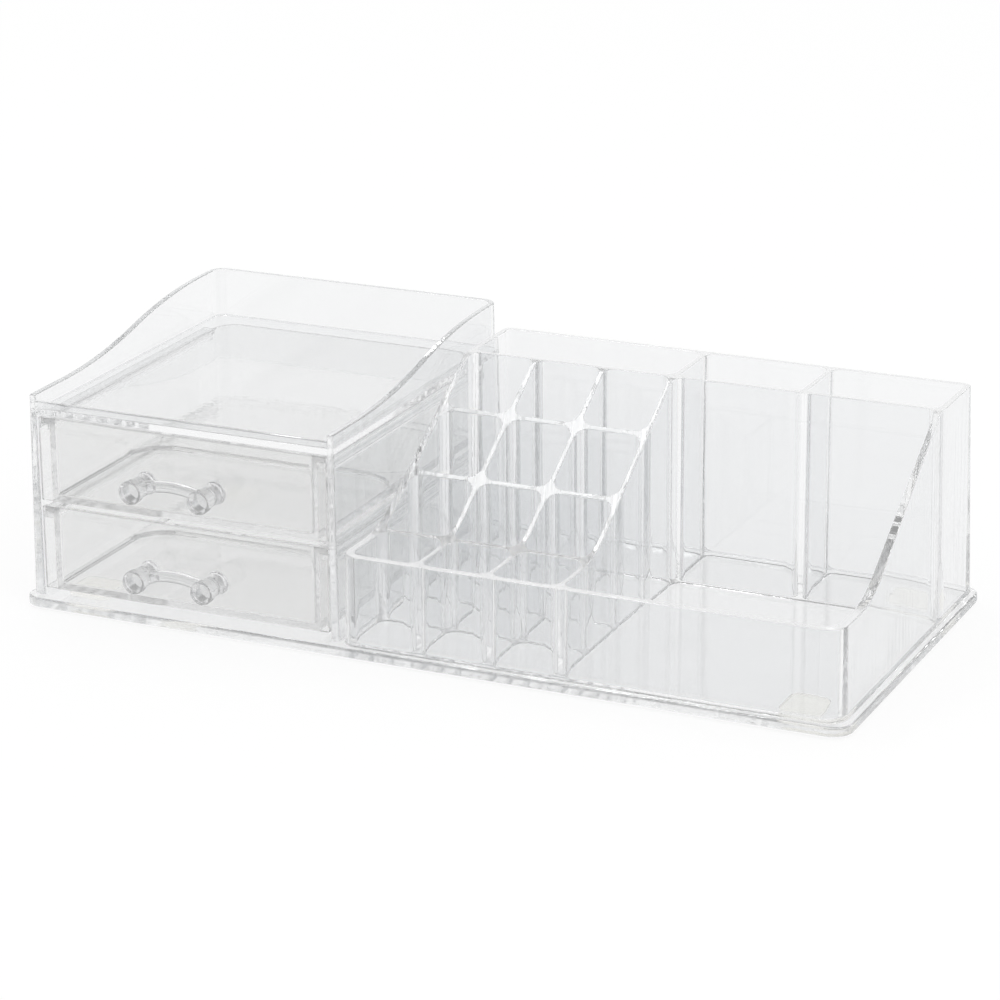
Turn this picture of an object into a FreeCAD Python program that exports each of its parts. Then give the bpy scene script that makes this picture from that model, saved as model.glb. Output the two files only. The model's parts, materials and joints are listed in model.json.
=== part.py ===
import FreeCAD
import Part
import math
import os

# Clear makeup organizer with a two-drawer case, a lipstick rack, rear compartments and open trays.
# Every piece is written to its own STEP file, in millimetres, at its place in the whole.
# +X is right, +Y is back and +Z is up. X = 0 and Y = 0 are the middle of the whole object's width
# and depth, handles included, and Z = 0 is the surface that the foot pads stand on.

# Walled body
BODY_W = 300.0          # left to right over the outer walls, at their top edges
BODY_D = 134.8          # front to back over the outer walls, at their top edges
WALL_T = 2.2            # outer walls at their top edges
WALL_DRAFT = 1.8        # how far the foot of an outer wall stands out from its top edge
FACING_DRAFT = 1.0      # the same, where the case and the rack stand side by side
DIVIDER_T = 1.8         # dividers, cross walls and partition

# Foot pads and base plate
PAD_T = 1.2
PAD_SIZE = 16.0
PAD_CORNER_R = 3.0
PAD_INSET = 7.0         # from the body's outline to the pad
BASE_T = 3.2
BASE_LIP = 3.0          # base plate beyond the feet of the walls
BASE_CORNER_R = 7.5
BASE_EDGE_R = 0.9       # rounding of the base plate's top edge

# Walls around the rack and the right-hand trays
RING_CORNER_R = 7.0
CASE_GAP = 0.6          # between the feet of the case's right wall and the rack's left wall
FRONT_WALL_H = 32.0     # all heights are above the base plate
REAR_WALL_H = 76.4
SLOPE_START_Y = 29.0    # from the body's front to where the sloped edges leave the front height
SLOPE_END_Y = 99.0      # from the body's front to where they meet the rear height
SLOPE_START_R = 40.0    # rounding of the slope's lower end
SLOPE_END_R = 8.0       # rounding of the slope's upper end

# Lipstick rack and rear compartments
CELL_COLUMNS = 3
CELL_ROWS = 4
CELL_W = 24.4
CELL_D = 23.4
CELL_CORNER_R = 4.0
REAR_CELL_W = 45.8      # middle rear compartment

# Drawer case and the tray on top of it
CASE_W = 118.6
CASE_CORNER_R = 6.0
TRAY_FLOOR_T = 2.0
TRAY_LIP_H = 3.0        # low front lip above the tray floor
TRAY_LIP_T = 2.0
TRAY_SIDE_RISE = 5.5    # tray side above the tray floor at the front
TRAY_BACK_RISE = 17.6   # tray back above the tray floor
TRAY_CURVE_START_Y = 20.0   # from the body's front, where the side's long S-curve starts
TRAY_CURVE_END_Y = 122.0

# Drawers
FRONT_T = 2.2
FRONT_H = 30.8
FRONT_SIDE_CLEAR = 0.6  # drawer front to case wall
FRONT_EDGE_R = 0.5
BASE_TO_FRONT_GAP = 2.6
FRONT_GAP = 2.0         # between the two drawer fronts
TOP_GAP = 0.5           # upper drawer front to the tray floor
BOX_WALL_T = 1.8
BOX_FLOOR_T = 1.8
BOX_CORNER_R = 9.0      # rear corners of the drawer box
BOX_BACK_GAP = 5.0      # drawer box to the back wall of the case
RIM_W = 3.5             # outward rim along the top of each drawer side
RIM_T = 2.0
RIM_DROP = 0.6          # rim top below the top of the drawer front
RIM_WALL_CLEAR = 1.0    # rim to case wall
MID_RIB_H = 4.0         # low rib that halves the drawer, above its floor
MID_RIB_R = 14.0        # its corners with the sides of the drawer

# Runners that the drawer rims slide on
RUNNER_T = 2.0
RUNNER_CLEAR = 0.3      # under the rim, and behind the drawer front
RUNNER_BOX_CLEAR = 0.6  # runner to drawer side

# Handles
POST_PITCH = 26.8
POST_D = 8.5
POST_L = 12.5
POST_EDGE_R = 0.8
BAR_D = 4.2
BAR_RISE = 2.5          # arch of the bar at its middle
BAR_OUT = 7.2           # bar axis in front of the drawer front
HANDLE_DROP = 3.2       # handle axis below the middle of the drawer front
SPIGOT_D = 4.0
SPIGOT_CLEAR = 0.1      # around the spigot in its hole, and short of the back of the front

# Places worked out from the dimensions above
LEFT = -BODY_W / 2
RIGHT = BODY_W / 2
WALL_TO_EDGE = WALL_DRAFT + BASE_LIP
FRONT = POST_L - (POST_L + BODY_D + WALL_TO_EDGE) / 2
BACK = FRONT + BODY_D
BASE_TOP = PAD_T + BASE_T
CASE_RIGHT = LEFT + CASE_W
RING_LEFT = CASE_RIGHT + CASE_GAP + 2 * FACING_DRAFT
RING_INNER_LEFT = RING_LEFT + WALL_T
RING_INNER_FRONT = FRONT + WALL_T
PARTITION_Y = RING_INNER_FRONT + CELL_ROWS * CELL_D + (CELL_ROWS - 1) * DIVIDER_T
FRONT_STEP = FRONT_H + FRONT_GAP
LOWER_FRONT_Z = BASE_TOP + BASE_TO_FRONT_GAP
TRAY_FLOOR_Z = LOWER_FRONT_Z + FRONT_STEP + FRONT_H + TOP_GAP
TRAY_TOP = TRAY_FLOOR_Z + TRAY_FLOOR_T
CASE_INNER_LEFT = LEFT + WALL_T
CASE_INNER_RIGHT = CASE_RIGHT - WALL_T
CASE_INNER_BACK = BACK - WALL_T
FRONT_LEFT = CASE_INNER_LEFT + FRONT_SIDE_CLEAR
FRONT_RIGHT = CASE_INNER_RIGHT - FRONT_SIDE_CLEAR
BOX_LEFT = CASE_INNER_LEFT + RIM_WALL_CLEAR + RIM_W
BOX_RIGHT = CASE_INNER_RIGHT - RIM_WALL_CLEAR - RIM_W
BOX_FRONT = FRONT + FRONT_T
BOX_BACK = CASE_INNER_BACK - BOX_BACK_GAP
HANDLE_X = (FRONT_LEFT + FRONT_RIGHT) / 2


def point(x, y, z):
    return FreeCAD.Vector(x, y, z)


def block(x0, x1, y0, y1, z0, z1):
    return Part.makeBox(x1 - x0, y1 - y0, z1 - z0, point(x0, y0, z0))


def outline(x0, x1, y0, y1, z, radii):
    """Closed rectangle at height z; radii are front left, front right, back right, back left."""
    corners = ((x0, y0, 1, 1), (x1, y0, -1, 1), (x1, y1, -1, -1), (x0, y1, 1, -1))
    ends = []
    arcs = []
    for (x, y, sx, sy), r in zip(corners, radii):
        along_x = point(x + sx * r, y, z)
        along_y = point(x, y + sy * r, z)
        inset = r * (1 - math.sqrt(0.5))
        middle = point(x + sx * inset, y + sy * inset, z)
        first, last = (along_y, along_x) if sx == sy else (along_x, along_y)
        ends.append((first, last))
        arcs.append(Part.Arc(first, middle, last).toShape() if r > 0 else None)
    edges = []
    for i, arc in enumerate(arcs):
        if arc is not None:
            edges.append(arc)
        edges.append(Part.LineSegment(ends[i][1], ends[(i + 1) % 4][0]).toShape())
    return Part.Wire(edges)


def rounded_block(x0, x1, y0, y1, z0, z1, radii):
    face = Part.Face(outline(x0, x1, y0, y1, z0, radii))
    return face.extrude(point(0, 0, z1 - z0))


def drafted_block(x0, x1, y0, y1, z0, z1, radii, draft):
    """Rounded block whose foot is larger than its top by draft: left, right, front, back."""
    left, right, front, back = draft
    foot = outline(x0 - left, x1 + right, y0 - front, y1 + back, z0, radii)
    top = outline(x0, x1, y0, y1, z1, radii)
    return Part.makeLoft([foot, top], True, True)


def bent_line(corners, radii):
    """Edges through (y, z) corners in the YZ plane, the inner ones rounded."""
    edges = []
    start = point(0, *corners[0])
    for i, r in enumerate(radii):
        before, corner, after = (point(0, *c) for c in corners[i:i + 3])
        back_dir = (before - corner).normalize()
        ahead_dir = (after - corner).normalize()
        half = back_dir.getAngle(ahead_dir) / 2
        reach = r / math.tan(half)
        bisector = (back_dir + ahead_dir).normalize()
        first = corner + back_dir * reach
        last = corner + ahead_dir * reach
        middle = corner + bisector * (r / math.sin(half) - r)
        edges.append(Part.LineSegment(start, first).toShape())
        edges.append(Part.Arc(first, middle, last).toShape())
        start = last
    edges.append(Part.LineSegment(start, point(0, *corners[-1])).toShape())
    return edges


def s_curve(y0, z0, y1, z1):
    """Two equal arcs in the YZ plane that leave (y0, z0) and reach (y1, z1) level."""
    run = y1 - y0
    rise = z1 - z0
    radius = (run ** 2 + rise ** 2) / (4 * rise)
    turn = math.asin(run / 2 / radius)
    across = radius * math.sin(turn / 2)
    up = radius * (1 - math.cos(turn / 2))
    middle = point(0, y0 + run / 2, z0 + rise / 2)
    lower = Part.Arc(point(0, y0, z0), point(0, y0 + across, z0 + up), middle)
    upper = Part.Arc(middle, point(0, y1 - across, z1 - up), point(0, y1, z1))
    return [lower.toShape(), upper.toShape()]


def below_edge(top_edges, z_low, x0, x1):
    """Solid between x0 and x1, under a chain of edges that runs from front to back."""
    first = top_edges[0].Vertexes[0].Point
    last = top_edges[-1].Vertexes[-1].Point
    front_foot = point(0, first.y, z_low)
    back_foot = point(0, last.y, z_low)
    closing = [
        Part.LineSegment(last, back_foot).toShape(),
        Part.LineSegment(back_foot, front_foot).toShape(),
        Part.LineSegment(front_foot, first).toShape(),
    ]
    face = Part.Face(Part.Wire(top_edges + closing))
    face.translate(point(x0, 0, 0))
    return face.extrude(point(x1 - x0, 0, 0))


def under_slope(x0, x1):
    """What lies under the sloped top edge that the ring, dividers and cross walls share."""
    corners = [
        (FRONT - WALL_TO_EDGE, BASE_TOP + FRONT_WALL_H),
        (FRONT + SLOPE_START_Y, BASE_TOP + FRONT_WALL_H),
        (FRONT + SLOPE_END_Y, BASE_TOP + REAR_WALL_H),
        (BACK + WALL_TO_EDGE, BASE_TOP + REAR_WALL_H),
    ]
    edges = bent_line(corners, (SLOPE_START_R, SLOPE_END_R))
    return below_edge(edges, BASE_TOP, x0, x1)


def under_tray_side(x0, x1):
    """What lies under the S-curved top edge of the tray on the drawer case."""
    side_z = TRAY_TOP + TRAY_SIDE_RISE
    back_z = TRAY_TOP + TRAY_BACK_RISE
    start_y = FRONT + TRAY_CURVE_START_Y
    end_y = FRONT + TRAY_CURVE_END_Y
    lead_in = Part.LineSegment(
        point(0, FRONT - WALL_TO_EDGE, side_z), point(0, start_y, side_z))
    run_out = Part.LineSegment(
        point(0, end_y, back_z), point(0, BACK + WALL_TO_EDGE, back_z))
    curve = s_curve(start_y, side_z, end_y, back_z)
    edges = [lead_in.toShape()] + curve + [run_out.toShape()]
    return below_edge(edges, BASE_TOP, x0, x1)


def slab(y0, y1):
    """Everything between two Y planes, wide and high enough for any wall."""
    top = TRAY_TOP + TRAY_BACK_RISE + REAR_WALL_H
    return block(LEFT - WALL_TO_EDGE, RIGHT + WALL_TO_EDGE, y0, y1, 0, top)


def base_plate():
    reach = WALL_TO_EDGE
    plate = rounded_block(
        LEFT - reach, RIGHT + reach, FRONT - reach, BACK + reach, PAD_T, BASE_TOP,
        (BASE_CORNER_R,) * 4)
    top_edges = [e for e in plate.Edges if e.BoundBox.ZMin > BASE_TOP - BASE_EDGE_R / 2]
    return plate.makeFillet(BASE_EDGE_R, top_edges)


def foot_pad(side_x, side_y):
    """Pad under one corner; side_x and side_y are -1 or 1."""
    corner_x = RIGHT if side_x > 0 else LEFT
    corner_y = BACK if side_y > 0 else FRONT
    outer_x = corner_x - side_x * PAD_INSET
    outer_y = corner_y - side_y * PAD_INSET
    xs = sorted((outer_x, outer_x - side_x * PAD_SIZE))
    ys = sorted((outer_y, outer_y - side_y * PAD_SIZE))
    return rounded_block(*xs, *ys, 0, PAD_T, (PAD_CORNER_R,) * 4)


def ring():
    """The four walls around the rack, the rear compartments and the right-hand tray."""
    top = BASE_TOP + REAR_WALL_H
    outer = drafted_block(
        RING_LEFT, RIGHT, FRONT, BACK, BASE_TOP, top, (RING_CORNER_R,) * 4,
        (FACING_DRAFT, WALL_DRAFT, WALL_DRAFT, WALL_DRAFT))
    inner = rounded_block(
        RING_INNER_LEFT, RIGHT - WALL_T, RING_INNER_FRONT, BACK - WALL_T, BASE_TOP, top,
        (RING_CORNER_R - WALL_T,) * 4)
    return outer.cut(inner).common(under_slope(RING_LEFT - FACING_DRAFT, RIGHT + WALL_DRAFT))


def front_wall(walls):
    return walls.common(slab(FRONT - WALL_DRAFT, FRONT + RING_CORNER_R))


def back_wall(walls):
    return walls.common(slab(BACK - RING_CORNER_R, BACK + WALL_DRAFT))


def side_wall(walls, corner_r, x0, x1):
    middle = slab(FRONT + corner_r, BACK - corner_r)
    return walls.common(middle).common(block(x0, x1, FRONT, BACK, 0, middle.BoundBox.ZMax))


def divider_left(column):
    """Left face of the divider that closes a column of cells, counted from 1."""
    return RING_INNER_LEFT + column * CELL_W + (column - 1) * DIVIDER_T


def lipstick_divider(column):
    x0 = divider_left(column)
    plate = block(x0, x0 + DIVIDER_T, RING_INNER_FRONT, PARTITION_Y, BASE_TOP, BASE_TOP + REAR_WALL_H)
    return plate.common(under_slope(x0, x0 + DIVIDER_T))


def cross_wall(column, row):
    """Wall between two cells of one column, flared to the rounded corners of the cells."""
    x1 = divider_left(column)
    x0 = x1 - CELL_W
    y0 = RING_INNER_FRONT + row * CELL_D + (row - 1) * DIVIDER_T
    y1 = y0 + DIVIDER_T
    top = BASE_TOP + REAR_WALL_H
    r = CELL_CORNER_R
    wall = block(x0, x1, y0 - r, y1 + r, BASE_TOP, top)
    front_cell = rounded_block(x0, x1, y0 - 3 * r, y0, BASE_TOP, top, (0, 0, r, r))
    rear_cell = rounded_block(x0, x1, y1, y1 + 3 * r, BASE_TOP, top, (r, r, 0, 0))
    return wall.cut(front_cell).cut(rear_cell).common(under_slope(x0, x1))


def cross_wall_row(row):
    return Part.makeCompound([cross_wall(c, row) for c in range(1, CELL_COLUMNS + 1)])


def rear_partition():
    return block(
        RING_INNER_LEFT, RIGHT - WALL_T, PARTITION_Y, PARTITION_Y + DIVIDER_T,
        BASE_TOP, BASE_TOP + REAR_WALL_H)


def rear_divider(x0):
    return block(
        x0, x0 + DIVIDER_T, PARTITION_Y + DIVIDER_T, BACK - WALL_T,
        BASE_TOP, BASE_TOP + REAR_WALL_H)


def case_walls():
    """Left, right and back wall of the drawer case, open at the front."""
    top = TRAY_TOP + TRAY_BACK_RISE
    outer = drafted_block(
        LEFT, CASE_RIGHT, FRONT, BACK, BASE_TOP, top, (0, 0, CASE_CORNER_R, CASE_CORNER_R),
        (WALL_DRAFT, FACING_DRAFT, 0, WALL_DRAFT))
    inner_r = CASE_CORNER_R - WALL_T
    inner = rounded_block(
        CASE_INNER_LEFT, CASE_INNER_RIGHT, FRONT - WALL_T, CASE_INNER_BACK, BASE_TOP, top,
        (0, 0, inner_r, inner_r))
    return outer.cut(inner).common(under_tray_side(LEFT - WALL_DRAFT, CASE_RIGHT + FACING_DRAFT))


def tray_floor():
    """Floor of the top tray, fitted between the case walls, with its low front lip."""
    inner_r = CASE_CORNER_R - WALL_T
    plate = rounded_block(
        CASE_INNER_LEFT, CASE_INNER_RIGHT, FRONT, CASE_INNER_BACK, TRAY_FLOOR_Z, TRAY_TOP,
        (0, 0, inner_r, inner_r))
    lip = block(
        CASE_INNER_LEFT, CASE_INNER_RIGHT, FRONT, FRONT + TRAY_LIP_T,
        TRAY_TOP, TRAY_TOP + TRAY_LIP_H)
    return plate.fuse(lip).removeSplitter()


def rim_bottom(front_z):
    return front_z + FRONT_H - RIM_DROP - RIM_T


def runner(front_z, side):
    """Ledge on a case wall under a drawer rim; side is -1 for left and 1 for right."""
    z1 = rim_bottom(front_z) - RUNNER_CLEAR
    y0 = BOX_FRONT + RUNNER_CLEAR
    if side < 0:
        xs = (CASE_INNER_LEFT, BOX_LEFT - RUNNER_BOX_CLEAR)
    else:
        xs = (BOX_RIGHT + RUNNER_BOX_CLEAR, CASE_INNER_RIGHT)
    return block(*xs, y0, BOX_BACK - BOX_CORNER_R, z1 - RUNNER_T, z1)


def handle_z(front_z):
    return front_z + FRONT_H / 2 - HANDLE_DROP


def rod(x, y0, y1, z, diameter):
    """Round rod along Y."""
    return Part.makeCylinder(diameter / 2, y1 - y0, point(x, y0, z), point(0, 1, 0))


def post_places():
    return (HANDLE_X - POST_PITCH / 2, HANDLE_X + POST_PITCH / 2)


def drawer_front(front_z):
    panel = block(FRONT_LEFT, FRONT_RIGHT, FRONT, BOX_FRONT, front_z, front_z + FRONT_H)
    outer_edges = [e for e in panel.Edges if e.BoundBox.YMax < FRONT + FRONT_T / 2]
    panel = panel.makeFillet(FRONT_EDGE_R, outer_edges)
    for x in post_places():
        hole_d = SPIGOT_D + 2 * SPIGOT_CLEAR
        panel = panel.cut(rod(x, FRONT - FRONT_T, BOX_FRONT + FRONT_T, handle_z(front_z), hole_d))
    return panel


def drawer_box(front_z):
    """Drawer box behind its front: floor, sides with outward rims, back and a low middle rib."""
    rim_top = front_z + FRONT_H - RIM_DROP
    floor_top = front_z + BOX_FLOOR_T
    outer_r = BOX_CORNER_R
    inner_r = BOX_CORNER_R - BOX_WALL_T
    x0 = BOX_LEFT + BOX_WALL_T
    x1 = BOX_RIGHT - BOX_WALL_T
    y1 = BOX_BACK - BOX_WALL_T
    rib_y = (BOX_FRONT + y1 - BOX_WALL_T) / 2
    shell = rounded_block(
        BOX_LEFT, BOX_RIGHT, BOX_FRONT, BOX_BACK, front_z, rim_top, (0, 0, outer_r, outer_r))
    rim_y1 = BOX_BACK - outer_r
    rims = [
        block(BOX_LEFT - RIM_W, BOX_LEFT, BOX_FRONT, rim_y1, rim_top - RIM_T, rim_top),
        block(BOX_RIGHT, BOX_RIGHT + RIM_W, BOX_FRONT, rim_y1, rim_top - RIM_T, rim_top),
    ]
    hollows = [
        rounded_block(x0, x1, BOX_FRONT, y1, floor_top + MID_RIB_H, rim_top,
                      (0, 0, inner_r, inner_r)),
        rounded_block(x0, x1, BOX_FRONT, rib_y, floor_top, rim_top, (0, 0, MID_RIB_R, MID_RIB_R)),
        rounded_block(x0, x1, rib_y + BOX_WALL_T, y1, floor_top, rim_top,
                      (MID_RIB_R, MID_RIB_R, inner_r, inner_r)),
    ]
    return shell.fuse(rims).cut(hollows).removeSplitter()


def handle(front_z):
    """Two round posts with spigots and an arched bar between them, in one moulding."""
    z = handle_z(front_z)
    bar_y = FRONT - BAR_OUT
    left_x, right_x = post_places()
    posts = []
    for x in (left_x, right_x):
        post = rod(x, FRONT - POST_L, FRONT, z, POST_D)
        end = [e for e in post.Edges if e.BoundBox.YMax < FRONT - POST_L / 2]
        posts.append(post.makeFillet(POST_EDGE_R, end))
        posts.append(rod(x, FRONT - POST_EDGE_R, BOX_FRONT - SPIGOT_CLEAR, z, SPIGOT_D))
    arch = Part.Arc(
        point(left_x, bar_y, z), point(HANDLE_X, bar_y, z + BAR_RISE), point(right_x, bar_y, z))
    path = Part.Wire([arch.toShape()])
    start_dir = arch.tangent(arch.FirstParameter)[0]
    section = Part.Wire([Part.Circle(point(left_x, bar_y, z), start_dir, BAR_D / 2).toShape()])
    bar = path.makePipeShell([section], True, False)
    return posts[0].fuse(posts[1:] + [bar]).removeSplitter()


def all_pieces():
    pieces = {"base_plate": base_plate()}
    for x_name, side_x in (("left", -1), ("right", 1)):
        for y_name, side_y in (("front", -1), ("rear", 1)):
            pieces[f"foot_pad_{y_name}_{x_name}"] = foot_pad(side_x, side_y)

    walls = ring()
    pieces["front_wall"] = front_wall(walls)
    pieces["right_wall"] = side_wall(walls, RING_CORNER_R, RIGHT - WALL_T, RIGHT + WALL_DRAFT)
    pieces["back_wall"] = back_wall(walls)
    pieces["rack_left_wall"] = side_wall(
        walls, RING_CORNER_R, RING_LEFT - FACING_DRAFT, RING_INNER_LEFT)

    for column in range(1, CELL_COLUMNS + 1):
        pieces[f"lipstick_divider_{column}"] = lipstick_divider(column)
    for row in range(1, CELL_ROWS):
        pieces[f"lipstick_cross_walls_{row}"] = cross_wall_row(row)

    rack_end = divider_left(CELL_COLUMNS)
    pieces["rear_partition"] = rear_partition()
    pieces["rear_divider_1"] = rear_divider(rack_end)
    pieces["rear_divider_2"] = rear_divider(rack_end + DIVIDER_T + REAR_CELL_W)

    case = case_walls()
    case_top = case.BoundBox.ZMax
    case_side_end = BACK - CASE_CORNER_R
    pieces["case_left_wall"] = case.common(
        block(LEFT - WALL_DRAFT, CASE_INNER_LEFT, FRONT, case_side_end, 0, case_top))
    pieces["case_right_wall"] = case.common(
        block(CASE_INNER_RIGHT, CASE_RIGHT + FACING_DRAFT, FRONT, case_side_end, 0, case_top))
    pieces["case_back_wall"] = case.common(slab(BACK - CASE_CORNER_R, BACK + WALL_DRAFT))
    pieces["tray_floor"] = tray_floor()

    for level, front_z in (("lower", LOWER_FRONT_Z), ("upper", LOWER_FRONT_Z + FRONT_STEP)):
        pieces[f"{level}_left_runner"] = runner(front_z, -1)
        pieces[f"{level}_right_runner"] = runner(front_z, 1)
        pieces[f"{level}_drawer_front"] = drawer_front(front_z)
        pieces[f"{level}_drawer_box"] = drawer_box(front_z)
        pieces[f"{level}_drawer_handle"] = handle(front_z)
    return pieces


os.makedirs("parts", exist_ok=True)
for name, shape in all_pieces().items():
    shape.exportStep(os.path.join("parts", name + ".step"))
    print(f"{name}: {len(shape.Solids)} solid(s), {shape.Volume / 1000:.2f} cm3, valid {shape.isValid()}")
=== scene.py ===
import json
import math

import bpy
from mathutils import Matrix, Vector
from mathutils.geometry import delaunay_2d_cdt


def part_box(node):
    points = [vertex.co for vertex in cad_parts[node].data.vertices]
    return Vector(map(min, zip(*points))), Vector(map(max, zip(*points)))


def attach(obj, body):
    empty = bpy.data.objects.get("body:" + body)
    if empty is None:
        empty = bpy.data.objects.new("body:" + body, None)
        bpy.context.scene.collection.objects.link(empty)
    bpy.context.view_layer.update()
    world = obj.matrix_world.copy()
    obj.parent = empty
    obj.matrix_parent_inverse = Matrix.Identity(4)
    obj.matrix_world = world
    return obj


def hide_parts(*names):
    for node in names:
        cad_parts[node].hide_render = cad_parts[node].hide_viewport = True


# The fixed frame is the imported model. Its loose mouldings are modelled here as whole pieces: the
# base tray with its rack, the drawer case, two drawers and two handles. Lengths are in metres.
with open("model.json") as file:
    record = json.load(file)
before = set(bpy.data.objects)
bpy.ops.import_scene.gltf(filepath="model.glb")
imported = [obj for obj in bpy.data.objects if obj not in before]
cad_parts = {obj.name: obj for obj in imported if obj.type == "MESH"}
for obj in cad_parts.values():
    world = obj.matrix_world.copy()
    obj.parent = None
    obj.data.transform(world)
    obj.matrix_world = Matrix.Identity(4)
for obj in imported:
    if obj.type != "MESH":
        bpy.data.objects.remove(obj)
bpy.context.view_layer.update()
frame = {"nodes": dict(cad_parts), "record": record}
MM = 0.001

# Walls
WALL_T = 2.2 * MM
WALL_DRAFT = 1.8 * MM       # how far the foot of an outer wall stands out from its top edge
FACING_DRAFT = 1.0 * MM     # the same, where the case and the rack stand side by side
BASE_LIP = 3.0 * MM
DIVIDER_T = 1.8 * MM

# Slope that the rack, the dividers and the right wall share
FRONT_WALL_H = 32.0 * MM
REAR_WALL_H = 76.4 * MM
SLOPE_START_Y = 29.0 * MM
SLOPE_END_Y = 99.0 * MM
SLOPE_START_R = 40.0 * MM
SLOPE_END_R = 8.0 * MM

# S-curve of the tray sides on the drawer case
TRAY_FLOOR_T = 2.0 * MM
TRAY_LIP_H = 3.0 * MM
TRAY_LIP_T = 2.0 * MM
TRAY_SIDE_RISE = 5.5 * MM
TRAY_BACK_RISE = 17.6 * MM
TRAY_CURVE_START_Y = 20.0 * MM
TRAY_CURVE_END_Y = 122.0 * MM

# Drawers
BOX_WALL_T = 1.8 * MM
BOX_FLOOR_T = 1.8 * MM
BOX_CORNER_R = 9.0 * MM
RIM_W = 3.5 * MM            # rims that slide on the runners
RIM_T = 2.0 * MM
MID_RIB_H = 1.6 * MM        # low rib across the floor
MID_RIB_R = 14.0 * MM       # its corners with the sides of the drawer
MID_RIB_ROUND = 0.7 * MM
DRAWER_FLOOR_ROUND = 1.2 * MM

# Handles
POST_D = 8.5 * MM
POST_L = 12.5 * MM
POST_PITCH = 26.8 * MM
POST_EDGE_R = 0.8 * MM
BAR_D = 4.2 * MM            # from top to bottom
BAR_DEPTH = 3.4 * MM        # from front to back
BAR_RISE = 2.5 * MM         # of the arch, above the posts
COLLAR_L = 3.0 * MM
POST_NECK = 0.6 * MM        # depth of the waist behind a post's collar
FLARE_L = 2.0 * MM          # where a post widens again before the drawer front
HANDLE_DROP = 3.2 * MM      # below the middle of the drawer front
BAR_OUT = 7.2 * MM          # bar axis in front of the drawer front
BAR_SWELL = 0.2             # how much thicker the bar is at the posts

# Foot pads
PAD_CORNER_R = 3.0 * MM
PAD_RIM_R = 0.4 * MM

# Corners in plan, and rounded edges
RING_CORNER_R = 7.0 * MM    # walls around the rack and the right-hand trays
RING_REAR_R = 3.4 * MM
CELL_CORNER_R = 4.0 * MM
SMALL_CORNER_R = 1.2 * MM
CASE_CORNER_R = 6.0 * MM
BASE_CORNER_R = 7.5 * MM
BASE_EDGE_R = 0.9 * MM
WALL_END_R = 0.7 * MM
TOP_ROUND = 0.5 * MM
RACK_TOP_ROUND = 0.3 * MM
FOOT_ROUND = 0.5 * MM
SLIGHT_ROUND = 0.25 * MM
SINK = 0.4 * MM             # how far one form runs into the other before they are fused
BOND = 0.05 * MM            # the same, where separate mouldings are bonded

# Fineness of the meshes
ARC_STEPS = 10              # segments of a quarter turn in plan
ROUND_STEPS = 4             # segments of a rounded edge
ROUND_PARTS = 48            # segments around a post or the bar
BAR_STEPS = 24              # segments along the bar
NECK_STEPS = 6              # segments of a post's waist and of its flare
SLOPE_STEPS = ((14, 42, 14), (50, 90, 5), (95, 102, 7))  # start, end (mm from the front), segments
TRAY_STEPS = 60             # segments of the S-curve
SAME_POINT = 1e-5           # mm
SMOOTH_BELOW = math.radians(32)

# The camera stands in front of the organizer, to its right and a little above it
CAMERA_YAW = math.radians(24.87)
CAMERA_PITCH = math.radians(19.053)
CAMERA_ROLL = math.radians(-0.45)
CAMERA_TARGET = Vector((0.00226, -0.0022, 0.041))
CAMERA_DISTANCE = 1.2678
CAMERA_LENS = 130.34        # mm
CAMERA_SENSOR = 36          # mm
CAMERA_CLIP = (0.05, 50)

# Studio
FLOOR_SIZE = 6.0
PALE = 0.83                 # colour of the matt floor
GLOW = 1.03                 # level of the glow that makes the floor white
GLOW_SHARE = 0.88           # part of the floor that glows; the rest is matt and takes shadows
SOFT_LIGHT = 0.8            # level of the light from all round
NO_LEVEL = 0.001            # below this a ray sees nothing, and gets the soft light
CEILING = ((0.0, 1.0), (0.36, 1.0), (0.5, 0.35), (1.0, 0.35))  # backdrop's level by height
FLAGS = ((0.6, 1.0), (0.9, 0.5))    # and its factor towards the sides and the front
LAMPS = {                   # place, aim, size, power
    "overhead": ((-0.49, 0.25, 1.22), (-0.49, 0.25, 0), (0.22, 0.7), 2.3),
    "fill": ((0.9, -0.4, 0.9), (0, 0, 0), (0.6, 0.6), 3),
}
LIGHT_BOUNCES = 128         # light runs far inside the clear walls before it leaves them

# Plastics. Noises are (scale, detail), bumps (scale, detail, stretch along z, depth)
CLEAR_IOR = 1.49
CLEAR_HAZE = (55.0, 3.0)
CLEAR_HAZE_FROM = (0.5, 0.7)    # noise levels between which the haze comes in
SINK_WAVES = (22.0, 1.5, 1.0, 2.0 * MM)
FLOW_STREAKS = (600.0, 1.0, 0.04, 0.1 * MM)
CLEAR_PLASTICS = {          # colour, roughness from clear to hazy, strength of waves and streaks
    "clear_body": ((0.934, 0.938, 0.942), (0.0, 0.02), 0.1),
    "clear_drawer": ((0.944, 0.944, 0.942), (0.04, 0.08), 0.1),
    "clear_handle": ((0.93, 0.932, 0.936), (0.0, 0.02), 0.03),
}
VINYL_COLOUR = (0.99, 0.98, 0.93)
VINYL_IOR = 1.5
VINYL_HAZE = (180.0, 2.0)
VINYL_HAZE_FROM = (0.0, 1.0)
VINYL_ROUGH = (0.08, 0.25)
VINYL_GRAIN = (1500.0, 2.0, 1.0, 0.05 * MM)
GRAIN_STRENGTH = 0.3

# Places read from the frame
base_low, base_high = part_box("base_plate")
BASE_TOP = base_high.z
EDGE = WALL_DRAFT + BASE_LIP
LEFT, RIGHT = base_low.x + EDGE, base_high.x - EDGE
FRONT, BACK = base_low.y + EDGE, base_high.y - EDGE
RING_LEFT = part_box("rack_left_wall")[1].x - WALL_T
TRAY_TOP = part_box("tray_floor")[1].z - TRAY_LIP_H
CASE_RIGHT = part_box("tray_floor")[1].x + WALL_T


# Solids are built from loops: closed outlines in plan that keep the material on their left.

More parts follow.
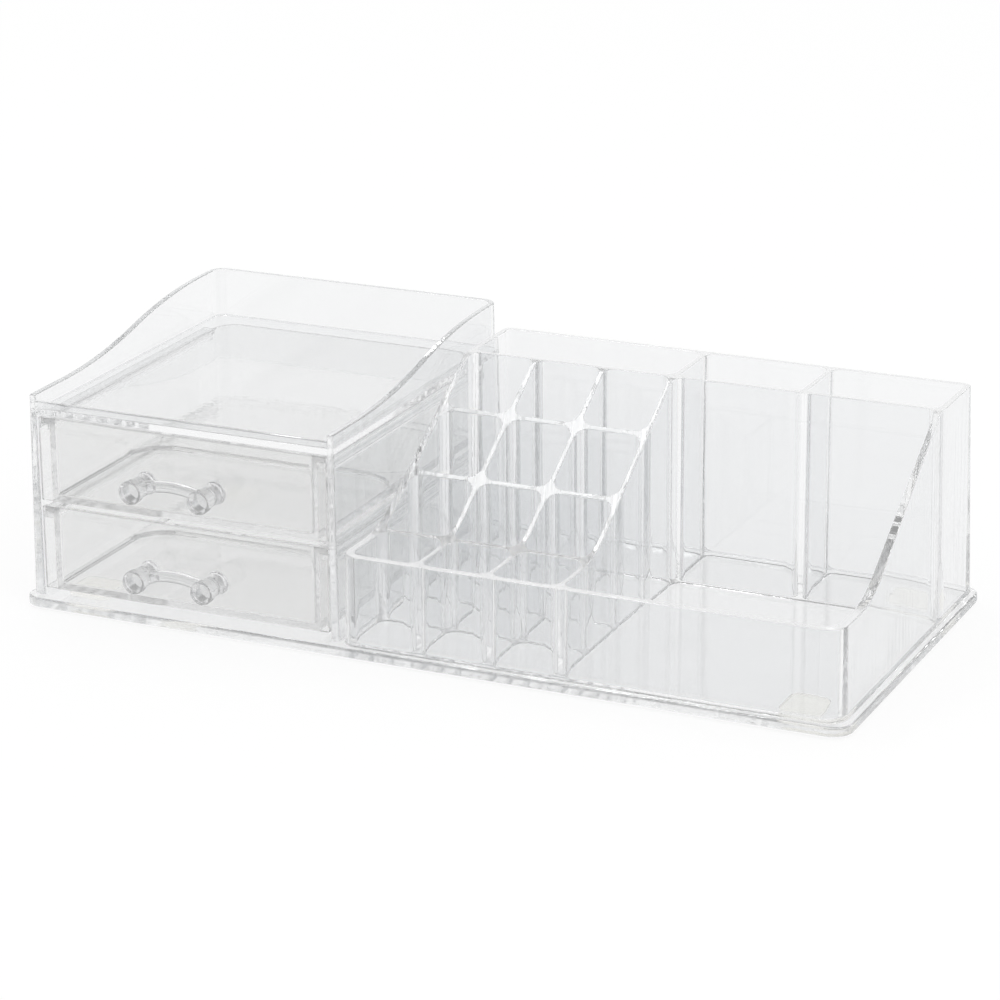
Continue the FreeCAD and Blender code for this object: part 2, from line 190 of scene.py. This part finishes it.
class Loop:
    """Points in plan. lean is how far each point stands out at the foot of a drafted wall."""

    def __init__(self, points, leans=None, foot=0.0, full=1.0):
        self.points = points
        self.leans = leans or [Vector((0, 0))] * len(points)
        self.foot, self.full = foot, full
        self.miters = []
        for i, here in enumerate(points):
            ahead = (points[(i + 1) % len(points)] - here).normalized()
            behind = (here - points[i - 1]).normalized()
            left = Vector((-behind.y - ahead.y, behind.x + ahead.x))
            self.miters.append(left / (1 + behind.dot(ahead)))

    def ring(self, inset, height):
        """Points moved into the material by inset, at a height that may depend on their y."""
        ring = []
        for point, miter, lean in zip(self.points, self.miters, self.leans):
            flat = point + miter * inset
            z = height(flat.y) if callable(height) else height
            flat = flat + lean * ((self.full - z) / (self.full - self.foot))
            ring.append((flat.x, flat.y, z))
        return ring


def rounded_polygon(corners, levels=(), foot=0.0, full=1.0):
    """Loop through corners (x, y, radius, lean); straight runs get a point at each y in levels."""
    points, leans = [], []
    count = len(corners)
    for i in range(count):
        before, here, after = (Vector(corners[(i + k) % count][:2]) for k in (-1, 0, 1))
        radius = corners[i][2]
        lean = Vector(corners[i][3]) if len(corners[i]) > 3 else Vector((0, 0))
        come, go = (here - before).normalized(), (after - here).normalized()
        turn = math.atan2(come.x * go.y - come.y * go.x, come.dot(go))
        steps = ARC_STEPS if radius > SMALL_CORNER_R else ROUND_STEPS
        reach = radius * abs(math.tan(turn / 2))
        side = math.copysign(1, turn)
        centre = here - come * reach + Vector((-come.y, come.x)) * side * radius
        start = here - come * reach - centre
        for k in range(steps + 1 if radius else 1):
            angle = turn * k / steps
            spoke = Vector((start.x * math.cos(angle) - start.y * math.sin(angle),
                            start.x * math.sin(angle) + start.y * math.cos(angle)))
            points.append(centre + spoke)
            leans.append(lean)
        last = points[-1]
        first = after - go * corners[(i + 1) % count][2]
        low, high = min(last.y, first.y) + MM / 10, max(last.y, first.y) - MM / 10
        between = [y for y in levels if low < y < high]
        for y in sorted(between, reverse=go.y < 0):
            share = (y - last.y) / (first.y - last.y)
            points.append(Vector((last.x + (first.x - last.x) * share, y)))
            leans.append(lean - go * lean.dot(go))
    return Loop(points, leans, foot, full)


def rectangle(x0, x1, y0, y1, radii, levels=(), hole=False, leans=((0, 0),) * 4,
              foot=0.0, full=1.0):
    """Rounded rectangle; radii and leans are front left, front right, back right, back left."""
    corners = [(x0, y0, radii[0], leans[0]), (x1, y0, radii[1], leans[1]),
               (x1, y1, radii[2], leans[2]), (x0, y1, radii[3], leans[3])]
    return rounded_polygon(corners[::-1] if hole else corners, levels, foot, full)


def above(height, rise):
    """The same height, or height function, moved up by rise."""
    return (lambda y: height(y) + rise) if callable(height) else height + rise


def round_over(height, radius):
    """Stations of a rounded upper edge."""
    turns = [math.pi / 2 * k / ROUND_STEPS for k in range(ROUND_STEPS + 1)]
    return [(radius * (1 - math.cos(t)), above(height, -radius * (1 - math.sin(t)))) for t in turns]


def round_under(height, radius):
    """Stations of a rounded lower edge."""
    turns = [math.pi / 2 * k / ROUND_STEPS for k in range(ROUND_STEPS + 1)]
    return [(radius * (1 - math.sin(t)), above(height, radius * (1 - math.cos(t)))) for t in turns]


def round_foot(height, radius):
    """Stations of the fillet between a floor and the wall that rises from it."""
    return [(-inset, z) for inset, z in round_under(height, radius)]


def encloses(outline, point):
    """Whether a closed outline in plan goes around a point."""
    crossings = 0
    for a, b in zip(outline, outline[1:] + outline[:1]):
        if (a.y > point.y) != (b.y > point.y):
            crossings += point.x < a.x + (b.x - a.x) * (point.y - a.y) / (b.y - a.y)
    return crossings % 2 == 1


UPRIGHT = (0, 1, 2)
ALONG_X = (2, 0, 1)     # plan is (y, z) and height runs along x
ALONG_Y = (1, 2, 0)     # plan is (z, x) and height runs along y


class Solid:
    """Closed mesh, built ring by ring. axes says which of plan x, plan y and height is x, y, z."""

    def __init__(self, axes=UPRIGHT):
        self.points, self.faces, self.axes = [], [], axes

    def skin(self, rings):
        """Joins rings of points, each counterclockwise seen from the next; gives both end rings."""
        placed = []
        for ring in rings:
            start = len(self.points)
            self.points += ring
            placed.append(range(start, len(self.points)))
        for low, high in zip(placed, placed[1:]):
            for i in range(len(low)):
                j = (i + 1) % len(low)
                self.faces.append((low[i], low[j], high[j], high[i]))
        return placed[0], placed[-1]

    def wall(self, loop, stations):
        """Skins the loop through (inset, height) stations from low to high."""
        return self.skin([loop.ring(inset, height) for inset, height in stations])

    def fill(self, rings, up=True):
        """Triangles over the plan area inside the first ring and outside the others."""
        index = [i for ring in rings for i in ring]
        flat = [Vector(self.points[i][:2]) / MM for i in index]
        edges, holes, start = [], [], 0
        for ring in rings:
            count = len(ring)
            edges += [(start + i, start + (i + 1) % count) for i in range(count)]
            holes.append(flat[start:start + count])
            start += count
        made = delaunay_2d_cdt(flat, edges, [], 1, SAME_POINT)
        for corners in made[2]:
            middle = sum((made[0][c] for c in corners), Vector((0, 0))) / 3
            if any(encloses(hole, middle) for hole in holes[1:]):
                continue
            face = [index[made[3][c][0]] for c in corners]
            a, b, c = (Vector(self.points[i][:2]) for i in face)
            turned = (b - a).cross(c - a) > 0
            self.faces.append(tuple(face if turned == up else face[::-1]))

    def plain(self, loop, low, high, low_round, high_round):
        """Simple solid between two heights with rounded edges."""
        first, last = self.wall(loop, round_under(low, low_round) + round_over(high, high_round))
        self.fill([first], up=False)
        self.fill([last])

    def mesh(self, name):
        """Mesh of the solid, turned to its axes."""
        made = bpy.data.meshes.new(name)
        turned = [tuple(p[a] for a in self.axes) for p in self.points]
        made.from_pydata(turned, [], self.faces)
        made.validate()
        return made


def new_object(name, mesh):
    """Object of a mesh, linked to the scene."""
    made = bpy.data.objects.new(name, mesh)
    bpy.context.scene.collection.objects.link(made)
    return made


def fused(name, solids):
    """One mesh from solids that run into each other."""
    parts = [new_object(f"{name}_{i}", solid.mesh(name)) for i, solid in enumerate(solids)]
    for other in parts[1:]:
        union = parts[0].modifiers.new("union", "BOOLEAN")
        union.operation, union.solver, union.object = "UNION", "EXACT", other
    bpy.context.view_layer.update()
    shown = parts[0].evaluated_get(bpy.context.evaluated_depsgraph_get())
    mesh = bpy.data.meshes.new_from_object(shown)
    for part in parts:
        bpy.data.objects.remove(part)
    return mesh


def finished(name, mesh, body, slot, *nodes):
    """Puts a piece in the scene in place of CAD nodes, smooth over its rounded edges."""
    mesh.name = name
    mesh.polygons.foreach_set("use_smooth", [True] * len(mesh.polygons))
    mesh.set_sharp_from_angle(angle=SMOOTH_BELOW)
    mesh.materials.clear()
    mesh.materials.append(materials[slot])
    piece = new_object(name, mesh)
    weighted = piece.modifiers.new("flat_faces_stay_flat", "WEIGHTED_NORMAL")
    weighted.keep_sharp = True
    weighted.weight = 100
    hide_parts(*nodes)
    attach(piece, body)
    return piece


# Height profiles

def slope_height(y):
    """Top of the rack, dividers and ring: level, up a straight slope, level; the bends are arcs."""
    low, high = BASE_TOP + FRONT_WALL_H, BASE_TOP + REAR_WALL_H
    start, end = FRONT + SLOPE_START_Y, FRONT + SLOPE_END_Y
    angle = math.atan2(high - low, end - start)
    start_reach = SLOPE_START_R * math.tan(angle / 2)
    end_reach = SLOPE_END_R * math.tan(angle / 2)
    if y <= start - start_reach:
        return low
    if y <= start + start_reach * math.cos(angle):
        return low + SLOPE_START_R - math.sqrt(SLOPE_START_R ** 2 - (y - start + start_reach) ** 2)
    if y <= end - end_reach * math.cos(angle):
        return low + (y - start) * math.tan(angle)
    if y <= end + end_reach:
        return high - SLOPE_END_R + math.sqrt(SLOPE_END_R ** 2 - (end + end_reach - y) ** 2)
    return high


def tray_height(y):
    """Top of the case walls: an S-curve of two equal arcs between two levels."""
    low, high = TRAY_TOP + TRAY_SIDE_RISE, TRAY_TOP + TRAY_BACK_RISE
    start, end = FRONT + TRAY_CURVE_START_Y, FRONT + TRAY_CURVE_END_Y
    radius = ((end - start) ** 2 + (high - low) ** 2) / (4 * (high - low))
    y = min(max(y, start), end)
    if y <= (start + end) / 2:
        return low + radius - math.sqrt(radius ** 2 - (y - start) ** 2)
    return high - radius + math.sqrt(radius ** 2 - (end - y) ** 2)


def spread(start, end, steps):
    """Evenly spaced values from start to end."""
    return [start + (end - start) * k / steps for k in range(steps + 1)]


SLOPE_LEVELS = [y for start, end, steps in SLOPE_STEPS
                for y in spread(FRONT + start * MM, FRONT + end * MM, steps)]
TRAY_LEVELS = spread(FRONT + TRAY_CURVE_START_Y, FRONT + TRAY_CURVE_END_Y, TRAY_STEPS)


# Pieces

def cell_places():
    """(x0, x1, y0, y1, corner radii) of each compartment that the base tray's walls enclose."""
    inner_left, inner_right = RING_LEFT + WALL_T, RIGHT - WALL_T
    inner_front, inner_back = FRONT + WALL_T, BACK - WALL_T
    dividers = [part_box(f"lipstick_divider_{n}") for n in (1, 2, 3)]
    crossings = [sum(corner.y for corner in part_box(f"lipstick_cross_walls_{n}")) / 2
                 for n in (1, 2, 3)]
    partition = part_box("rear_partition")
    rear = [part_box(f"rear_divider_{n}") for n in (1, 2)]
    front_r, rear_r = RING_CORNER_R - WALL_T, RING_REAR_R - WALL_T
    columns = list(zip([inner_left] + [d[1].x for d in dividers], [d[0].x for d in dividers]))
    rows = list(zip([inner_front] + [y + DIVIDER_T / 2 for y in crossings],
                    [y - DIVIDER_T / 2 for y in crossings] + [partition[0].y]))
    r = CELL_CORNER_R
    cells = [(*column, *row, (r,) * 4) for column in columns for row in rows]
    behind = (partition[1].y, inner_back)
    cells.append((dividers[2][1].x, inner_right, inner_front, partition[0].y, (r, front_r, r, r)))
    cells.append((inner_left, rear[0][0].x, *behind, (r, r, r, rear_r)))
    cells.append((rear[0][1].x, rear[1][0].x, *behind, (r, r, r, r)))
    cells.append((rear[1][1].x, inner_right, *behind, (r, r, rear_r, r)))
    return cells


def base_tray():
    """Base plate, ring, rack and dividers in one moulding."""
    tray = Solid()
    outline = rectangle(base_low.x, base_high.x, base_low.y, base_high.y, (BASE_CORNER_R,) * 4)
    under, edge = tray.wall(
        outline, round_under(base_low.z, SLIGHT_ROUND) + round_over(BASE_TOP, BASE_EDGE_R))
    tray.fill([under], up=False)
    full = BASE_TOP + REAR_WALL_H
    leans = ((-FACING_DRAFT, -WALL_DRAFT), (WALL_DRAFT, -WALL_DRAFT),
             (WALL_DRAFT, WALL_DRAFT), (-FACING_DRAFT, WALL_DRAFT))
    radii = (RING_CORNER_R, RING_CORNER_R, RING_REAR_R, RING_REAR_R)
    ring = rectangle(RING_LEFT, RIGHT, FRONT, BACK, radii, SLOPE_LEVELS,
                     leans=leans, foot=BASE_TOP, full=full)
    stations = round_over(slope_height, RACK_TOP_ROUND)
    foot, crest = tray.wall(ring, round_foot(BASE_TOP, FOOT_ROUND) + stations)
    tray.fill([edge, foot])
    crests = [crest]
    for x0, x1, y0, y1, radii in cell_places():
        cell = rectangle(x0, x1, y0, y1, radii, SLOPE_LEVELS, hole=True)
        floor, crest = tray.wall(cell, round_foot(BASE_TOP, FOOT_ROUND) + stations)
        tray.fill([floor])
        crests.append(crest)
    tray.fill(crests)
    return tray


def case_walls():
    """Left, back and right wall of the drawer case, open at the front."""
    left, right, t, inner_r = LEFT, CASE_RIGHT, WALL_T, CASE_CORNER_R - WALL_T
    corners = [
        (right, FRONT, WALL_END_R, (FACING_DRAFT, 0)),
        (right, BACK, CASE_CORNER_R, (FACING_DRAFT, WALL_DRAFT)),
        (left, BACK, CASE_CORNER_R, (-WALL_DRAFT, WALL_DRAFT)),
        (left, FRONT, WALL_END_R, (-WALL_DRAFT, 0)),
        (left + t, FRONT, WALL_END_R), (left + t, BACK - t, inner_r),
        (right - t, BACK - t, inner_r), (right - t, FRONT, WALL_END_R),
    ]
    walls = Solid()
    loop = rounded_polygon(corners, TRAY_LEVELS, BASE_TOP, TRAY_TOP + TRAY_BACK_RISE)
    walls.plain(loop, BASE_TOP - BOND, tray_height, 0, TOP_ROUND)
    return walls


def case_tray_floor():
    """Floor and front lip of the top tray, run between the case walls."""
    floor_low, lip_top = TRAY_TOP - TRAY_FLOOR_T, TRAY_TOP + TRAY_LIP_H
    front, lip_back, back = FRONT + SLIGHT_ROUND, FRONT + TRAY_LIP_T, BACK - WALL_T + SINK
    profile = rounded_polygon([
        (front, floor_low, TOP_ROUND), (back, floor_low, 0), (back, TRAY_TOP, 0),
        (lip_back, TRAY_TOP, FOOT_ROUND), (lip_back, lip_top, TOP_ROUND),
        (front, lip_top, TOP_ROUND)])
    floor = Solid(ALONG_X)
    floor.plain(profile, LEFT + WALL_T - SINK, CASE_RIGHT - WALL_T + SINK, 0, 0)
    return floor


def runner(name):
    """Ledge that a drawer slides on, run into its side of the case."""
    low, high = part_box(name)
    x0, x1 = low.x, high.x
    if x0 < (LEFT + CASE_RIGHT) / 2:
        x0 -= SINK
    else:
        x1 += SINK
    ledge = Solid()
    loop = rectangle(x0, x1, low.y, high.y, (WALL_END_R,) * 4)
    ledge.plain(loop, low.z, high.z, SLIGHT_ROUND, SLIGHT_ROUND)
    return ledge


RUNNERS = [f"{level}_{side}_runner" for level in ("lower", "upper") for side in ("left", "right")]


def drawer_solids(level):
    """Front panel, box, middle rib and side rims of one drawer."""
    front_low, front_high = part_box(f"{level}_drawer_front")
    box_low, box_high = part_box(f"{level}_drawer_box")
    panel = Solid(ALONG_Y)
    face = rectangle(front_low.z, front_high.z, front_low.x, front_high.x, (WALL_END_R,) * 4)
    panel.plain(face, front_low.y, front_high.y, TOP_ROUND, SLIGHT_ROUND)

    x0, x1 = box_low.x + RIM_W, box_high.x - RIM_W
    y0, y1, t = box_low.y, box_high.y, BOX_WALL_T
    floor_top = box_low.z + BOX_FLOOR_T
    inner_r = BOX_CORNER_R - t
    box = Solid()
    outer = rectangle(x0, x1, y0 - 3 * SINK, y1, (0, 0, BOX_CORNER_R, BOX_CORNER_R))
    under, crest = box.wall(
        outer, round_under(box_low.z, TOP_ROUND) + round_over(box_high.z, TOP_ROUND))
    box.fill([under], up=False)
    front_r = DRAWER_FLOOR_ROUND + SLIGHT_ROUND
    radii = (front_r, front_r, inner_r, inner_r)
    hollow = rectangle(x0 + t, x1 - t, y0 - SINK / 10, y1 - t, radii, hole=True)
    floor, inner_crest = box.wall(
        hollow, round_foot(floor_top, DRAWER_FLOOR_ROUND) + round_over(box_high.z, TOP_ROUND))
    box.fill([floor])
    box.fill([crest, inner_crest])

    rib_y = (y0 + y1 - t - t) / 2
    rib = Solid()
    a, b, r = x0 + t, x1 - t, MID_RIB_R
    side_a, side_b = a - 4 * SINK, b + 4 * SINK
    root_front, root_back = rib_y - r - 3 * SINK, rib_y + t + r + 3 * SINK
    rib_loop = rounded_polygon([
        (side_a, root_front, 0), (a, root_front, 0), (a, rib_y, r), (b, rib_y, r),
        (b, root_front, 0), (side_b, root_front, 0), (side_b, root_back, 0), (b, root_back, 0),
        (b, rib_y + t, r), (a, rib_y + t, r), (a, root_back, 0), (side_a, root_back, 0)])
    rib.plain(rib_loop, floor_top - SINK, floor_top + MID_RIB_H, 0, MID_RIB_ROUND)

    rims = []
    rim_back = y1 - BOX_CORNER_R
    for low, high in ((box_low.x, x0 + SINK), (x1 - SINK, box_high.x)):
        rim = Solid()
        loop = rectangle(low, high, y0 - SINK, rim_back, (WALL_END_R,) * 4)
        rim_top = box_high.z - SLIGHT_ROUND / 5
        rim.plain(loop, box_high.z - RIM_T, rim_top, SLIGHT_ROUND, SLIGHT_ROUND)
        rims.append(rim)
    return [box, panel, rib] + rims


def handle_solids(level):
    """Two turned posts and the arched bar between them."""
    front_low, front_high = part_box(f"{level}_drawer_front")
    middle = Vector(((front_low.x + front_high.x) / 2, front_low.y - BAR_OUT,
                     (front_low.z + front_high.z) / 2 - HANDLE_DROP))
    radius, root = POST_D / 2, front_low.y + BOND
    tip = front_low.y - POST_L
    turns = [2 * math.pi * k / ROUND_PARTS for k in range(ROUND_PARTS)]
    solids = []
    for x in (middle.x - POST_PITCH / 2, middle.x + POST_PITCH / 2):
        post = Solid(ALONG_Y)
        circle = Loop([Vector((middle.z + radius * math.cos(t), x + radius * math.sin(t)))
                       for t in turns])
        bends = [(k / NECK_STEPS, math.cos(math.pi * k / NECK_STEPS))
                 for k in range(NECK_STEPS + 1)]
        waist = [(POST_NECK * (1 - bend) / 2, tip + COLLAR_L + 2 * POST_NECK * share)
                 for share, bend in bends]
        flare = [(POST_NECK * (1 + bend) / 2, root - FLARE_L * (1 - share))
                 for share, bend in bends]
        end, seat = post.wall(circle, round_under(tip, POST_EDGE_R) + waist + flare)
        post.fill([end], up=False)
        post.fill([seat])
        solids.append(post)
    bar = Solid()
    rings = []
    for k in range(BAR_STEPS + 1):
        across = 2 * k / BAR_STEPS - 1
        swell = 1 + BAR_SWELL * across ** 6
        lean = -4 * BAR_RISE * across / POST_PITCH
        centre = middle + Vector((across * POST_PITCH / 2, 0, BAR_RISE * (1 - across ** 2)))
        up = Vector((-lean, 0, 1)).normalized() * BAR_D / 2 * swell
        out = Vector((0, BAR_DEPTH / 2 * swell, 0))
        rings.append([tuple(centre + out * math.cos(t) + up * math.sin(t)) for t in turns])
    left, right = bar.skin(rings)
    bar.faces += [tuple(left)[::-1], tuple(right)]
    return solids + [bar]


def foot_pad(name):
    """Soft stick-on pad with rounded rims."""
    low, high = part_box(name)
    pad = Solid()
    loop = rectangle(low.x, high.x, low.y, high.y, (PAD_CORNER_R,) * 4)
    pad.plain(loop, low.z, high.z + BOND, PAD_RIM_R, 0)
    return pad


def build_pieces():
    """Every loose piece of the real object; the drawers and the handles are alike."""
    tray = [n for n in frame["nodes"] if n.startswith((
        "front_wall", "right_wall", "back_wall", "rack_", "lipstick_", "rear_", "base_"))]
    finished("organizer_base_tray", base_tray().mesh("base_tray"), "organizer", "clear_body", *tray)
    case = fused("drawer_case", [case_walls(), case_tray_floor()] + [runner(n) for n in RUNNERS])
    finished("drawer_case", case, "organizer", "clear_body",
             "case_left_wall", "case_right_wall", "case_back_wall", "tray_floor", *RUNNERS)
    for name in [n for n in frame["nodes"] if n.startswith("foot_pad")]:
        piece = name.replace("foot", "vinyl")
        finished(piece, foot_pad(name).mesh(name), "organizer", "foot_pad", name)
    drawer = fused("drawer", drawer_solids("upper"))
    handle = fused("handle", handle_solids("upper"))
    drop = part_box("lower_drawer_front")[0].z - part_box("upper_drawer_front")[0].z
    parts = ((drawer, "drawer", "clear_drawer", ("drawer_front", "drawer_box")),
             (handle, "handle", "clear_handle", ("drawer_handle",)))
    for level, shift in (("upper", 0), ("lower", drop)):
        for mesh, part, slot, ends in parts:
            copy = mesh.copy()
            copy.transform(Matrix.Translation((0, 0, shift)))
            nodes = [f"{level}_{end}" for end in ends]
            finished(f"{level}_{part}", copy, f"{level}_drawer", slot, *nodes)


# Materials, floor, world, lamps and camera

def new_nodes(tree):
    """Empties a node tree and gives its nodes and links."""
    tree.nodes.clear()
    return tree.nodes, tree.links


def noise(nodes, links, place, scale, detail, stretch=1.0):
    """Noise in the piece's own space; a stretch below 1 draws it out along z."""
    mapping = nodes.new("ShaderNodeMapping")
    mapping.inputs["Scale"].default_value = (1.0, 1.0, stretch)
    texture = nodes.new("ShaderNodeTexNoise")
    texture.inputs["Scale"].default_value = scale
    texture.inputs["Detail"].default_value = detail
    links.new(place.outputs["Object"], mapping.inputs["Vector"])
    links.new(mapping.outputs["Vector"], texture.inputs["Vector"])
    return texture.outputs["Fac"]


def bumped(nodes, links, height, strength, distance, under=None):
    """Bump from a height, laid over another bump's normal if one is given."""
    bump = nodes.new("ShaderNodeBump")
    bump.inputs["Strength"].default_value = strength
    bump.inputs["Distance"].default_value = distance
    links.new(height, bump.inputs["Height"])
    if under:
        links.new(under, bump.inputs["Normal"])
    return bump.outputs["Normal"]


def plastic(name, colour, ior, haze, haze_from, rough, bumps):
    """Clear plastic with an uneven haze, and bumps (strength, bump) laid over each other."""
    material = bpy.data.materials.new(name)
    material.use_nodes = True
    nodes, links = new_nodes(material.node_tree)
    shader = nodes.new("ShaderNodeBsdfPrincipled")
    shader.inputs["Base Color"].default_value = (*colour, 1.0)
    shader.inputs["IOR"].default_value = ior
    shader.inputs["Transmission Weight"].default_value = 1.0
    place = nodes.new("ShaderNodeTexCoord")
    levels = nodes.new("ShaderNodeMapRange")
    levels.inputs["From Min"].default_value, levels.inputs["From Max"].default_value = haze_from
    levels.inputs["To Min"].default_value, levels.inputs["To Max"].default_value = rough
    links.new(noise(nodes, links, place, *haze), levels.inputs["Value"])
    normal = None
    for strength, (*pattern, depth) in bumps:
        normal = bumped(nodes, links, noise(nodes, links, place, *pattern), strength, depth, normal)
    output = nodes.new("ShaderNodeOutputMaterial")
    links.new(levels.outputs[0], shader.inputs["Roughness"])
    links.new(normal, shader.inputs["Normal"])
    links.new(shader.outputs["BSDF"], output.inputs["Surface"])
    return material


def math_node(nodes, links, operation, *values):
    """Math node; values are numbers or sockets."""
    node = nodes.new("ShaderNodeMath")
    node.operation = operation
    for socket, value in zip(node.inputs, values):
        if isinstance(value, (int, float)):
            socket.default_value = value
        else:
            links.new(value, socket)
    return node.outputs[0]


def shown(nodes, links, level):
    """A level for what the camera sees, bare, mirrored or through plastic; other rays get 0."""
    path = nodes.new("ShaderNodeLightPath")
    inside = math_node(
        nodes, links, "MAXIMUM", path.outputs["Is Glossy Ray"], path.outputs["Is Transmission Ray"])
    seen = math_node(nodes, links, "MAXIMUM", path.outputs["Is Camera Ray"], inside)
    return math_node(nodes, links, "MULTIPLY", seen, level)


def make_floor():
    """White floor, the same bare and in the plastic; its matt part keeps the object's shadow."""
    mesh = bpy.data.meshes.new("floor")
    half = FLOOR_SIZE / 2
    corners = [(-half, -half, 0), (half, -half, 0), (half, half, 0), (-half, half, 0)]
    mesh.from_pydata(corners, [], [(0, 1, 2, 3)])
    floor = new_object("floor", mesh)
    material = bpy.data.materials.new("floor")
    material.use_nodes = True
    nodes, links = new_nodes(material.node_tree)
    glow = nodes.new("ShaderNodeEmission")
    glow.inputs["Color"].default_value = (1.0, 1.0, 1.0, 1)
    links.new(shown(nodes, links, GLOW), glow.inputs["Strength"])
    matt = nodes.new("ShaderNodeBsdfDiffuse")
    matt.inputs["Color"].default_value = (PALE, PALE, PALE, 1)
    mix = nodes.new("ShaderNodeMixShader")
    output = nodes.new("ShaderNodeOutputMaterial")
    links.new(shown(nodes, links, GLOW_SHARE), mix.inputs[0])
    links.new(matt.outputs[0], mix.inputs[1])
    links.new(glow.outputs[0], mix.inputs[2])
    links.new(mix.outputs[0], output.inputs["Surface"])
    floor.data.materials.append(material)


def ramp_node(nodes, stops):
    """Colour ramp through grey stops (position, level)."""
    ramp = nodes.new("ShaderNodeValToRGB")
    elements = ramp.color_ramp.elements
    while len(elements) < len(stops):
        elements.new(1.0)
    for element, (position, level) in zip(elements, stops):
        element.position = position
        element.color = (level, level, level, 1)
    return ramp


def make_world():
    """Plain soft light: a white backdrop, whose dim ceiling and sides show only in the plastic."""
    world = bpy.data.worlds.new("studio")
    bpy.context.scene.world = world
    world.use_nodes = True
    nodes, links = new_nodes(world.node_tree)
    place = nodes.new("ShaderNodeTexCoord")
    split = nodes.new("ShaderNodeSeparateXYZ")
    links.new(place.outputs["Generated"], split.inputs[0])
    height = ramp_node(nodes, CEILING)
    links.new(split.outputs["Z"], height.inputs[0])
    side = math_node(nodes, links, "ABSOLUTE", split.outputs["X"])
    near = math_node(nodes, links, "MULTIPLY", split.outputs["Y"], -1.0)
    flags = ramp_node(nodes, FLAGS)
    links.new(math_node(nodes, links, "MAXIMUM", side, near), flags.inputs[0])
    backdrop = math_node(nodes, links, "MULTIPLY", height.outputs[0], flags.outputs[0])
    path = nodes.new("ShaderNodeLightPath")
    bare = math_node(nodes, links, "MAXIMUM", path.outputs["Is Camera Ray"], backdrop)
    drawn = shown(nodes, links, bare)
    unseen = math_node(nodes, links, "LESS_THAN", drawn, NO_LEVEL)
    level = math_node(nodes, links, "MULTIPLY_ADD", unseen, SOFT_LIGHT, drawn)
    back = nodes.new("ShaderNodeBackground")
    back.inputs["Color"].default_value = (1.0, 1.0, 1.0, 1)
    output = nodes.new("ShaderNodeOutputWorld")
    links.new(level, back.inputs["Strength"])
    links.new(back.outputs[0], output.inputs["Surface"])


def make_lamp(name, place, aim, size, power):
    """Soft box at a place, turned to its aim."""
    data = bpy.data.lights.new(name, "AREA")
    data.shape = "RECTANGLE"
    data.size, data.size_y = size
    data.energy = power
    lamp = bpy.data.objects.new(name, data)
    lamp.location = place
    lamp.rotation_mode = "QUATERNION"
    lamp.rotation_quaternion = (Vector(aim) - Vector(place)).to_track_quat("-Z", "Y")
    bpy.context.scene.collection.objects.link(lamp)


def make_camera():
    """Camera at the photograph's viewing angle."""
    yaw, pitch, roll = CAMERA_YAW, CAMERA_PITCH, CAMERA_ROLL
    back = Vector((math.sin(yaw) * math.cos(pitch), -math.cos(yaw) * math.cos(pitch),
                   math.sin(pitch)))
    level = Vector((math.cos(yaw), math.sin(yaw), 0))
    upright = back.cross(level)
    right = level * math.cos(roll) + upright * math.sin(roll)
    up = upright * math.cos(roll) - level * math.sin(roll)
    data = bpy.data.cameras.new("camera")
    data.lens = CAMERA_LENS
    data.sensor_width = CAMERA_SENSOR
    data.clip_start, data.clip_end = CAMERA_CLIP
    camera = bpy.data.objects.new("camera", data)
    camera.rotation_mode = "QUATERNION"
    camera.location = CAMERA_TARGET + back * CAMERA_DISTANCE
    camera.rotation_quaternion = Matrix((right, up, back)).transposed().to_quaternion()
    bpy.context.scene.collection.objects.link(camera)
    bpy.context.scene.camera = camera


materials = {}
for name, (colour, rough, strength) in CLEAR_PLASTICS.items():
    waves = ((strength, SINK_WAVES), (strength, FLOW_STREAKS))
    materials[name] = plastic(name, colour, CLEAR_IOR, CLEAR_HAZE, CLEAR_HAZE_FROM, rough, waves)
materials["foot_pad"] = plastic("foot_pad", VINYL_COLOUR, VINYL_IOR, VINYL_HAZE, VINYL_HAZE_FROM,
                                VINYL_ROUGH, ((GRAIN_STRENGTH, VINYL_GRAIN),))
slot_of = {s["node"]: s["material_slot"] for s in frame["record"]["subparts"]}
for name, node in frame["nodes"].items():
    node.data.materials.clear()
    node.data.materials.append(materials[slot_of[name]])

build_pieces()
make_floor()
make_world()
make_camera()
for name, lamp in LAMPS.items():
    make_lamp(name, *lamp)

scene = bpy.context.scene
scene.view_settings.view_transform = "Standard"
scene.cycles.max_bounces = LIGHT_BOUNCES
scene.cycles.glossy_bounces = LIGHT_BOUNCES
scene.cycles.transmission_bounces = LIGHT_BOUNCES
scene.cycles.transparent_max_bounces = LIGHT_BOUNCES
